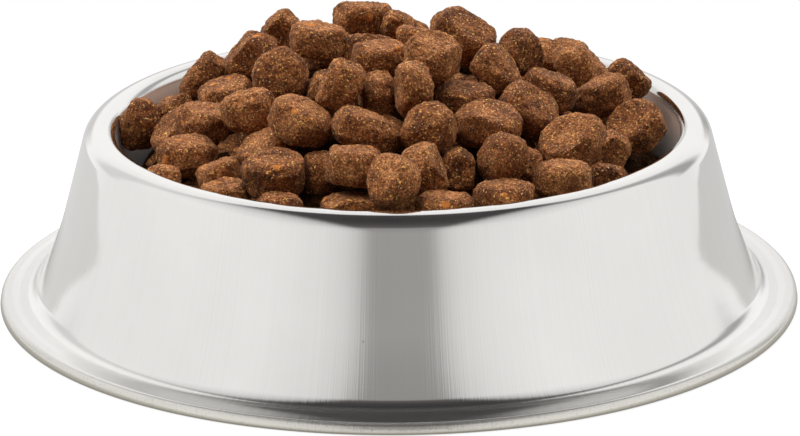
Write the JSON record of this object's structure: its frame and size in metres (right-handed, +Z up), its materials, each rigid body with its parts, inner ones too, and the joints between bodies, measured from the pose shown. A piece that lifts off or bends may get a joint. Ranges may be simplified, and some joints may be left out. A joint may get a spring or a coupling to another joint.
{
  "type": "pet food bowl filled with kibble",
  "caption": "Round steel pet bowl with a flared skirt, a flat flange and a rolled lip, heaped with loose brown dry kibble.",
  "frame": {"origin": "on the floor, under the middle of the bowl", "axes": "+Z up, along the bowl's axis; -Y towards the viewer of the picture"},
  "size_m": [0.2158, 0.2158, 0.0784],
  "materials": {
    "steel": "satin, nearly mirror bright, fine brush lines",
    "kibble": "baked, matt and grainy",
    "kibble_bed": "baked, matt and grainy"
  },
  "bodies": {
    "root": {"bowl": "steel", "kibble_bed": "kibble_bed", "kibble_01": "kibble", "kibble_02": "kibble", "kibble_03": "kibble", "kibble_04": "kibble", "kibble_05": "kibble", "kibble_06": "kibble", "kibble_07": "kibble", "kibble_08": "kibble", "kibble_09": "kibble", "kibble_10": "kibble", "kibble_11": "kibble", "kibble_12": "kibble", "kibble_13": "kibble", "kibble_14": "kibble", "kibble_15": "kibble", "kibble_16": "kibble", "kibble_17": "kibble", "kibble_18": "kibble", "kibble_19": "kibble", "kibble_20": "kibble", "kibble_21": "kibble", "kibble_22": "kibble", "kibble_23": "kibble", "kibble_24": "kibble", "kibble_25": "kibble", "kibble_26": "kibble", "kibble_27": "kibble", "kibble_28": "kibble", "kibble_29": "kibble", "kibble_30": "kibble", "kibble_31": "kibble", "kibble_32": "kibble", "kibble_33": "kibble", "kibble_34": "kibble", "kibble_35": "kibble", "kibble_36": "kibble", "kibble_37": "kibble", "kibble_38": "kibble", "kibble_39": "kibble", "kibble_40": "kibble", "kibble_41": "kibble", "kibble_42": "kibble", "kibble_43": "kibble", "kibble_44": "kibble", "kibble_45": "kibble", "kibble_46": "kibble", "kibble_47": "kibble", "kibble_48": "kibble", "kibble_49": "kibble", "kibble_50": "kibble", "kibble_51": "kibble", "kibble_52": "kibble", "kibble_53": "kibble", "kibble_54": "kibble", "kibble_55": "kibble", "kibble_56": "kibble", "kibble_57": "kibble", "kibble_58": "kibble"}
  },
  "joints": []
}
